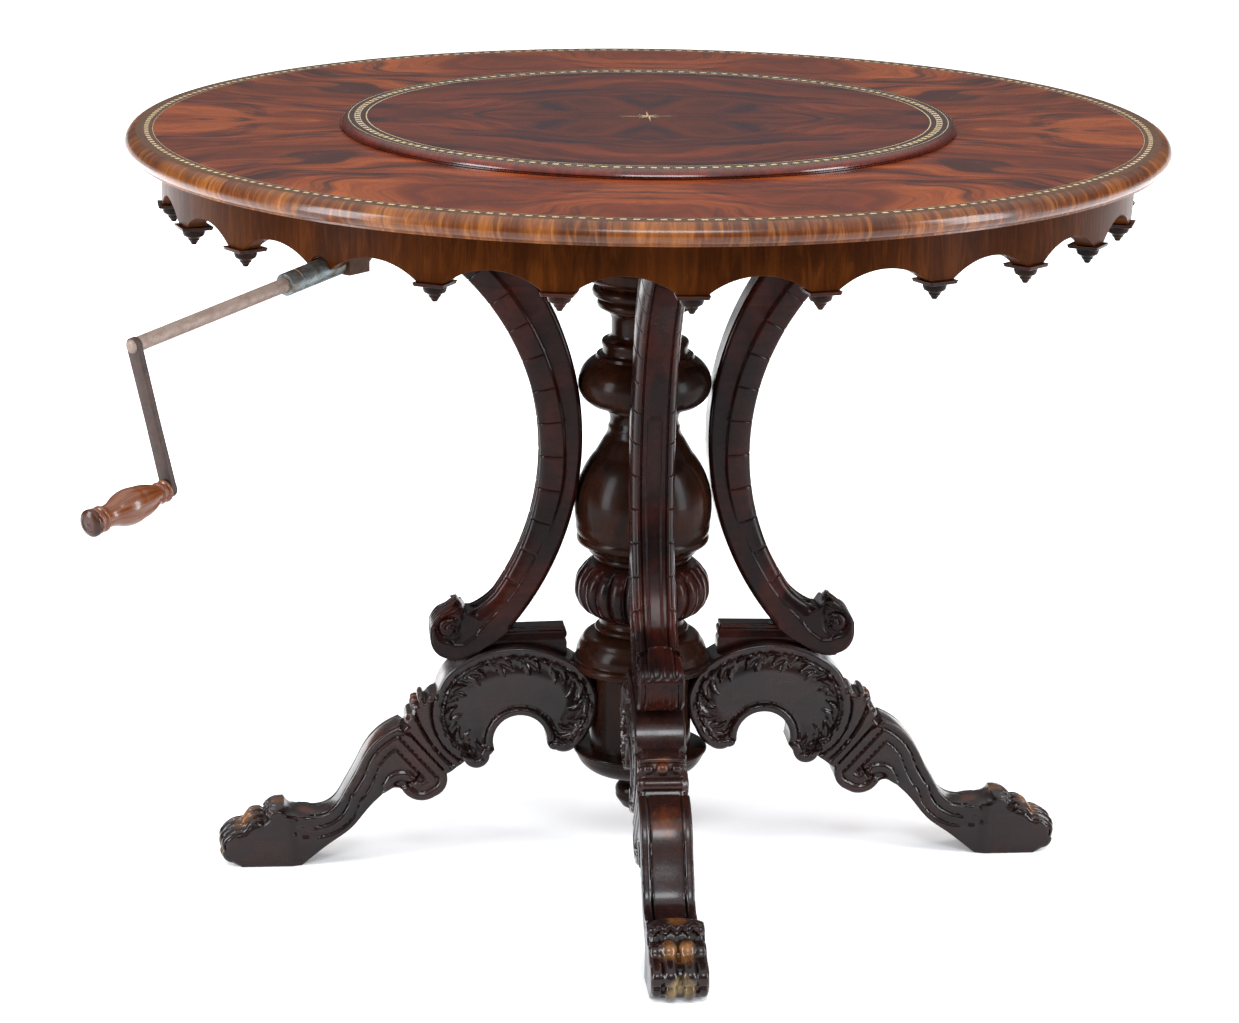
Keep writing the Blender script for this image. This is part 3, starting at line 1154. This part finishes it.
def toe_crown(edge, along):
    """How low the middle toes' crest lies and how wide they are: nail, knuckle, waist, knuckle."""
    last = np.exp(-((along - 9) / 8.5) ** 2)
    first = np.exp(-((along - 11) / 9) ** 2)
    nail = np.sin(math.pi * np.clip(along / 27, 0, 1))
    low = np.where(edge == TOE_MIDDLE, 2.0 * (1 - last), 1.6 * (1 - first))
    low = np.where(edge == TOE_TIP, 1.5 + 1.6 * ease(along, 20, 25) - 0.9 * nail, low)
    wide = np.where(edge == TOE_MIDDLE, 6.2 + 2.0 * last + 1.2 * ease(along, 28, 38),
                    6.8 + 1.8 * first)
    wide = np.where(edge == TOE_TIP, 4.6 + 1.7 * nail, wide)
    return low, wide


def toe_cut(edge, along, across):
    """Four toes side by side, the middle two the taller, with deep valleys between them."""
    low, wide = toe_crown(edge, along)
    cut = np.full(across.shape, TOE_VALLEY)
    for middle, share, drop in ((-9.2, 1, 0), (9.2, 1, 0), (-22.4, 0.82, 2.6), (22.4, 0.82, 2.6)):
        crest = np.minimum(low + drop, TOE_VALLEY)
        toe = crest + (TOE_VALLEY - crest) * dip(across, middle, wide * share)
        cut = np.minimum(cut, toe)
    return cut


def shin_cut(across):
    """A raised, slightly crowned field between two grooves, with a bead at each side."""
    width = np.abs(across)
    field = 0.7 * (width / 15.5) ** 2
    side = 0.9 + 1.8 * dip(width, 21.4, 4.8)
    return np.where(width < 16.4, field, side) + groove(width - 16.6, 2.0, 0.9)


def leg_cut(edge, along, across, points):
    half = np.abs(across).max(axis=1, keepdims=True)
    width = np.abs(across)
    plain = rounded(across, half, SOFT_CORNER)
    cut = plain + 0 * along
    toes = np.isin(edge, (TOE_TIP, TOE_MIDDLE, TOE_BACK))
    cut = np.where(toes, toe_cut(edge, along, across) + plain * 0.5, cut)
    tips = 7.5 - 6.5 * zigzag(across, CUFF_PITCH)
    proud = TOE_VALLEY * 0.6 * ease(tips - along, -0.8, 0.8)
    lines = groove(along - tips - 5, 1.4, 0.9) + groove(along - tips - 10, 1.2, 0.9)
    arch = 5.0 * (width / half) ** 3
    cut = np.where(edge == CUFF, proud + lines + arch + plain * 0.5, cut)
    cut = np.where(edge == CUFF_BACK, arch * (1 - ease(along, 4, 20)) + plain * 0.5, cut)
    shin = shin_cut(across)
    start = np.where(edge == SHIN_TOP[0], ease(along, 0, 8), 1)
    shin = shin * start + plain * (1 - start)
    cut = np.where(np.isin(edge, SHIN_TOP), shin, cut)
    torus = 0.4 + 3.6 * dip(along, 9, 6) + 3.2 * ease(width, 17.5, 25)
    torus = np.where(along > 15, PEARL_BED, torus)
    past = np.where(edge == NECK, along - NECK_LENGTH, along)
    pearls = np.zeros(across.shape)
    for middle, radius in ((-14.5, 5.6), (0, 6.8), (14.5, 5.6)):
        reach = np.sqrt((across - middle) ** 2 + (past + 2.6) ** 2) / radius
        pearls = np.maximum(pearls, (radius - 0.6) * np.sqrt(np.clip(1 - reach ** 2, 0, 1)))
    roll = 0.5 + (PEARL_BED - 0.5) * dip(past, 10.5, 5.6) + 3 * (width / half) ** 3
    cut = np.where(edge == NECK, torus - pearls + plain, cut)
    cut = np.where(edge == BEADS, roll - pearls + plain, cut)
    pillow = 1.6 * dip(along, 4.4, 5) + 4 * ease(width, 18, 21)
    cut = np.where(edge == CUSHION, pillow + plain, cut)
    step = groove(along - 1.5, 2.4, 1.2)
    return np.where(edge == RING_TOP, step + plain, cut)


def legs():
    steps = {None: 3.4, NECK: 1.3, BEADS: 1.2, CUSHION: 1.2, TOE_TIP: 1.6, TOE_MIDDLE: 1.7,
             TOE_BACK: 1.6, CUFF: 1.0, CUFF_BACK: 2.0, SOLE: 12}
    mesh = carve("scroll_leg", LEG, leg_relief, leg_cut, steps, 3.6, 1.5, lambda p: p[:, 0] < 340,
                 (0.7, 1.8, 3.0), spread((0, 1, 22)), blended=SHIN_TOP + SHIN_UNDER,
                 finish="leg_mahogany")
    put_four("scroll_leg", mesh, "leg")


# -------- the crank

def crank():
    """The removable rod and arm, the turned grip on its pin, and the fixed outer sleeve."""
    start, face = SHAFT_SOCKET_END + 1, ARM_PLACE - ARM_THICKNESS / 2
    outer = ARM_PLACE + ARM_THICKNESS / 2
    lathe("crank_sleeve_tube", [
        (SOCKET_RADIUS + RUNNING_GAP, TUBE_START), (TUBE_RADIUS, TUBE_START),
        (TUBE_RADIUS, SLEEVE_SHOULDER), (SLEEVE_RADIUS - 0.5, SLEEVE_SHOULDER),
        (SLEEVE_RADIUS, SLEEVE_SHOULDER + 0.5), (SLEEVE_RADIUS, 527), (SLEEVE_RADIUS - 0.6, 527.6),
        (SLEEVE_RADIUS - 0.6, 528.6), (SLEEVE_RADIUS, 529.2), (SLEEVE_RADIUS, SLEEVE_MOUTH - 0.8),
        (SLEEVE_RADIUS - 0.8, SLEEVE_MOUTH), (ROD_RADIUS + RUNNING_GAP, SLEEVE_MOUTH),
        (ROD_RADIUS + RUNNING_GAP, 477.5), (SOCKET_RADIUS + RUNNING_GAP, 477.5)],
        "mottled_iron", segments=64, step=4, stands_for="crank_sleeve", frame_matrix=on_shaft())
    rod_mesh(start, face, outer)
    arm_mesh()
    reach, swing = ARM_LENGTH * MM, math.radians(ARM_SWING)
    lower_end = Matrix.Translation(Vector((-reach * math.cos(swing), -reach * math.sin(swing),
                                           outer * MM)))
    place = on_shaft() @ lower_end
    bore = PIN_RADIUS + RUNNING_GAP
    lathe("turned_grip", [
        (bore, 0.3), (8, 0.3), (9.6, 1.2, 2.2), (9.6, 4.6), (8.3, 5.4), (8.3, 7.4), (9.4, 8.2, 2.2),
        (9.4, 11.6), (8.8, 12.2), (10.5, 17, 60), (15.5, 38, 40), (12.2, 66, -24), (10.6, 78),
        (11.2, 80.5, 2.6), (11.2, 84.5), (10.2, 85.2), (10.2, 86.4), (11.6, 87.4, 3),
        (11.6, GRIP_LENGTH), (bore, GRIP_LENGTH)],
        "grip_mahogany", segments=72, step=1.6, body="grip", stands_for="grip", frame_matrix=place)
    lathe("grip_end_button", [
        (bore, GRIP_LENGTH), (BUTTON_RADIUS - 0.6, GRIP_LENGTH), (BUTTON_RADIUS, 92, 5),
        (BUTTON_RADIUS, 96, 6), (10.2, 97.6, 8), (7.2, 98.6), (6.6, 98), (3.2, 98.2, 30),
        (0.6, 98.8), (0.6, 95), (bore, 95)],
        "grip_button", segments=64, step=1.0, body="grip", stands_for="grip_button",
        frame_matrix=place)


def rod_mesh(start, face, outer):
    """The round rod, its square tang and the riveted spigot that holds the arm."""
    tang, length = 4, 26
    profile = [(0, start), (ROD_RADIUS - 0.5, start), (ROD_RADIUS, start + 0.5),
               (ROD_RADIUS, face - 1.2), (ROD_RADIUS + 0.5, face - 0.9), (ROD_RADIUS + 0.5, face),
               (5, face), (5, outer), (6.5, outer, 3), (5.6, outer + 1.8, 6), (0, outer + 2.5)]
    lathe("crank_round_rod", profile, "rod_steel", segments=48, step=18, body="crank",
          stands_for="crank_rod", frame_matrix=on_shaft())
    bevel = 0.8
    rings = []
    for z, half in ((start - length, tang - bevel), (start - length + bevel, tang), (start, tang)):
        corner = [(half, half - bevel), (half - bevel, half), (bevel - half, half),
                  (-half, half - bevel), (-half, bevel - half), (bevel - half, -half),
                  (half - bevel, -half), (half, bevel - half)]
        rings.append([(x, y, z) for x, y in corner])
    points = np.array(rings).reshape(-1, 3)
    faces = grid_faces(3, 8, wrap_columns=True) + end_faces(8, 24)
    piece_of("crank_square_tang", points, faces, "rod_steel", "crank", crease=30,
             frame_matrix=on_shaft())


def arm_mesh():
    """A flat iron bar with round ends and softened edges, a little narrower in its middle."""
    half, low = ARM_WIDTH / 2, -ARM_LENGTH
    outline = [(low, half, half + 0.001), (low - half, 0, half + 0.001), (low, -half),
               (low * 0.5, 0.6 - half), (0, -half, half + 0.001), (half, 0, half + 0.001),
               (0, half), (low * 0.5, half - 0.6)]
    line = trace(outline, 6)[0]
    outward = outward_of(line)
    thick = ARM_THICKNESS / 2
    levels = [(-thick, 1.0), (-thick + 0.3, 0.3), (-thick + 1.0, 0.0), (thick - 1.0, 0.0),
              (thick - 0.3, 0.3), (thick, 1.0)]
    points = [(x, y, z) for z, inset in levels for x, y in line - outward * inset]
    count = len(line)
    faces = grid_faces(len(levels), count, wrap_columns=True) + end_faces(count, len(points))
    piece_of("crank_flat_arm", points, faces, "wrought_iron", "crank", "crank_arm", crease=40,
             frame_matrix=on_shaft(ARM_PLACE, ARM_SWING))


# -------- what keeps its CAD shape

CAD_FINISHES = {
    "beech": ("bearer_long", "bearer_cross", "sleeve_block"),
    "cast_iron": ("crown_gear", "shaft_bracket", "bedplate"),
    "steel": ("drive_shaft", "shaft_collars", "tie_rod", "bearer_screws", "spindle", "grip_pin",
              "comb", "comb_screws", "cylinder_pins", "bevel_pinion"),
    "brass": ("spur_pinion", "thrust_washer", "music_cylinder", "cylinder_wheel",
              "cylinder_bearings", "bedplate_posts", "comb_rail"),
}


def cad_nodes():
    """Finishes for the frame's own nodes, which keep their CAD shapes."""
    for finish, names in CAD_FINISHES.items():
        for name in names:
            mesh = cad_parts[name].data
            mesh.materials.clear()
            mesh.materials.append(FINISHES[finish])


# -------- the scene

# how bright the dome is, from the horizon at 0 to overhead at 1
SKY = [(0.0, 0.03), (0.3, 0.09), (0.6, 0.42), (1.0, 1.0)]
SKY_STRENGTH, FLOOR_REACH = 1.9, 60.0
COOL, WHITE = (0.9, 0.95, 1.0), (1, 1, 1)
# name, place, target, size, power and tint; the paper behind is lit far past white, which is
# what glares off the rim at both ends
LIGHTS = [("window_left", (-2.7, -1.3, 1.3), (0, 0, 0.45), (0.8, 2.3), 95, COOL),
          ("window_right", (2.8, -1.1, 1.3), (0, 0, 0.45), (0.8, 2.3), 90, COOL),
          ("front_panel", (0.3, -3.3, 3.3), (0, 0, 0.5), (1.8, 0.8), 75, COOL),
          ("backdrop_left", (-2.2, 2.0, 2.4), (-3.2, 3.4, 0), (1.2, 1.2), 200, WHITE),
          ("backdrop_right", (2.2, 2.0, 2.4), (3.2, 3.4, 0), (1.2, 1.2), 140, WHITE)]
CAMERA_PLACE, CAMERA_LENS, SENSOR_WIDTH = (0, -4.1624, 1.4838), 120.36, 36
CAMERA_PITCH, CAMERA_YAW, CAMERA_ROLL = 14.934, -0.337, 0.69


def camera():
    """A long lens a little above the table, pitched down to it."""
    pitch, yaw, roll = (math.radians(a) for a in (CAMERA_PITCH, CAMERA_YAW, CAMERA_ROLL))
    forward = Vector((math.sin(yaw) * math.cos(pitch), math.cos(yaw) * math.cos(pitch),
                      -math.sin(pitch)))
    level = Vector((math.cos(yaw), -math.sin(yaw), 0))
    up = level.cross(forward)
    right = level * math.cos(roll) + up * math.sin(roll)
    top = up * math.cos(roll) - level * math.sin(roll)
    data = bpy.data.cameras.new("photo_camera")
    data.lens = CAMERA_LENS
    data.sensor_width = SENSOR_WIDTH
    data.sensor_fit = "HORIZONTAL"
    view = linked("photo_camera", data)
    basis = Matrix((right, top, -forward)).transposed().to_4x4()
    view.matrix_world = Matrix.Translation(Vector(CAMERA_PLACE)) @ basis
    bpy.context.scene.camera = view


def soft_light(name, place, target, size, power, tint):
    data = bpy.data.lights.new(name, "AREA")
    data.shape = "RECTANGLE"
    data.size, data.size_y = size
    data.energy = power
    data.color = tint
    lamp = linked(name, data)
    lamp.location = place
    lamp.rotation_euler = (Vector(target) - Vector(place)).to_track_quat("-Z", "Y").to_euler()


def studio():
    """A dome that brightens overhead, the lights, and a sheet of paper for a floor."""
    world = bpy.data.worlds.new("studio_air")
    world.use_nodes = True
    tree = world.node_tree
    way = tree.nodes.new("ShaderNodeTexCoord").outputs["Generated"]
    parts = tree.nodes.new("ShaderNodeSeparateXYZ")
    ramp = tree.nodes.new("ShaderNodeValToRGB")
    tree.links.new(way, parts.inputs[0])
    tree.links.new(parts.outputs[2], ramp.inputs[0])
    shade_stops(ramp.color_ramp.elements, SKY)
    background = tree.nodes["Background"]
    tree.links.new(ramp.outputs[0], background.inputs["Color"])
    background.inputs["Strength"].default_value = SKY_STRENGTH
    bpy.context.scene.world = world
    for light in LIGHTS:
        soft_light(*light)
    reach = FLOOR_REACH
    mesh = bpy.data.meshes.new("studio_floor")
    mesh.from_pydata([(-reach, -reach, 0), (reach, -reach, 0), (reach, reach, 0),
                      (-reach, reach, 0)], [], [(0, 1, 2, 3)])
    mesh.materials.append(pale_floor("studio_paper"))
    linked("studio_floor", mesh)


bpy.context.scene.view_settings.view_transform = "Standard"
table_top()
disc()
star()
apron()
drops()
column()
supports()
brackets()
legs()
crank()
cad_nodes()
camera()
studio()
